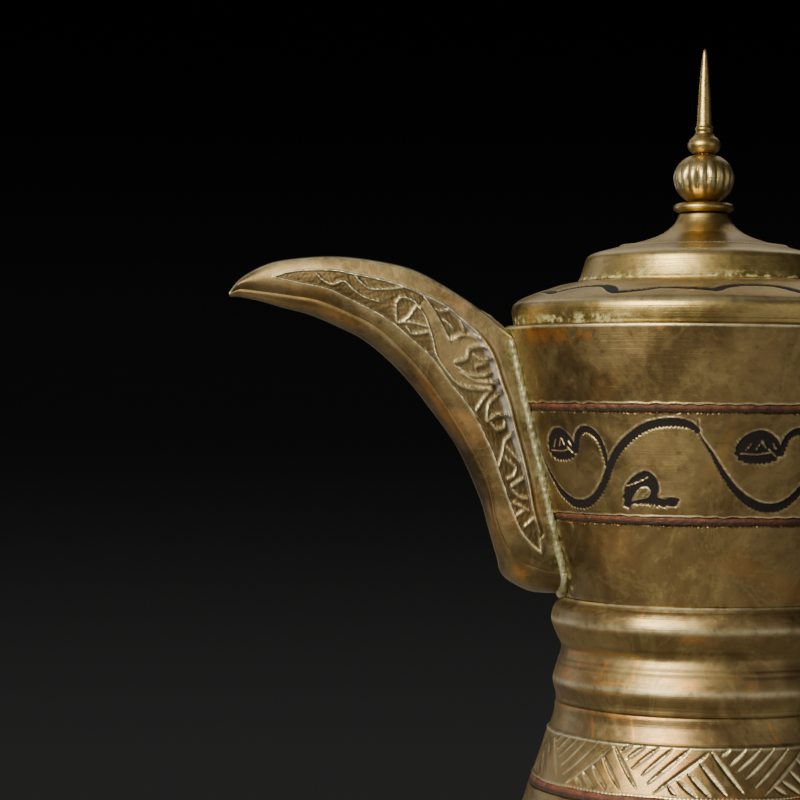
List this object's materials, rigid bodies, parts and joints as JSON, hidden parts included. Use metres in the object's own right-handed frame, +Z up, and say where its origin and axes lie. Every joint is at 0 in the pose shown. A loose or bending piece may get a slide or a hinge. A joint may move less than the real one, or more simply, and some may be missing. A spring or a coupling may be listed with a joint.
{
  "type": "dallah coffee pot",
  "caption": "Brass dallah coffee pot: waisted sheet body, long crescent beak with an open channel, curved side handle and a hinged domed lid with a spire, chased and inlaid.",
  "frame": {"origin": "centre of the flat underside of the base", "axes": "+Z up along the pot's axis, beak towards -X, handle and lid hinge towards +X"},
  "size_m": [0.2644, 0.1258, 0.297],
  "materials": {
    "pot_brass": "aged hand-raised sheet brass, brushed dull polish with brown tarnish",
    "lid_brass": "paler lid brass, smoother, with green-yellow verdigris along its lower edge",
    "cast_brass": "cast and filed brass, worn bright on edges",
    "red_inlay": "dark red lac rubbed into chased grooves",
    "solder": "dull grey soft solder"
  },
  "bodies": {
    "pot": {"base_plate": "pot_brass", "belly_shell": "pot_brass", "waist_collar": "pot_brass", "neck_shell": "pot_brass", "mouth_ring": "pot_brass", "belly_band": "red_inlay", "neck_band_lower": "red_inlay", "neck_band_upper": "red_inlay", "spout_keel": "pot_brass", "spout_cheek_left": "pot_brass", "spout_cheek_right": "pot_brass", "spout_seam_left": "solder", "spout_seam_right": "solder", "spout_bridge": "pot_brass", "handle_upper_plate": "cast_brass", "handle_palmette": "cast_brass", "handle_grip": "cast_brass", "handle_upper_collar": "cast_brass", "handle_lower_collar": "cast_brass", "hinge_body_leaf": "cast_brass", "hinge_pin": "cast_brass", "rivet_hinge_left": "cast_brass", "rivet_hinge_right": "cast_brass", "rivet_handle_left": "cast_brass", "rivet_handle_right": "cast_brass", "rivet_palmette_left": "cast_brass", "rivet_palmette_right": "cast_brass", "rivet_palmette_low": "cast_brass"},
    "lid": {"lid_shoulder": "lid_brass", "lid_crown": "lid_brass", "lid_flange": "lid_brass", "finial_collar": "lid_brass", "finial_knob": "lid_brass", "finial_spire": "lid_brass", "finial_nut": "cast_brass", "hinge_lid_leaf": "cast_brass", "rivet_lid_front": "cast_brass", "rivet_lid_back": "cast_brass"}
  },
  "joints": [
    {"name": "lid_hinge", "type": "hinge", "parent": "pot", "child": "lid", "pos_m": [0.0652, 0, 0.2143], "axis": [0, 1, 0], "range_deg": [0, 100]}
  ]
}
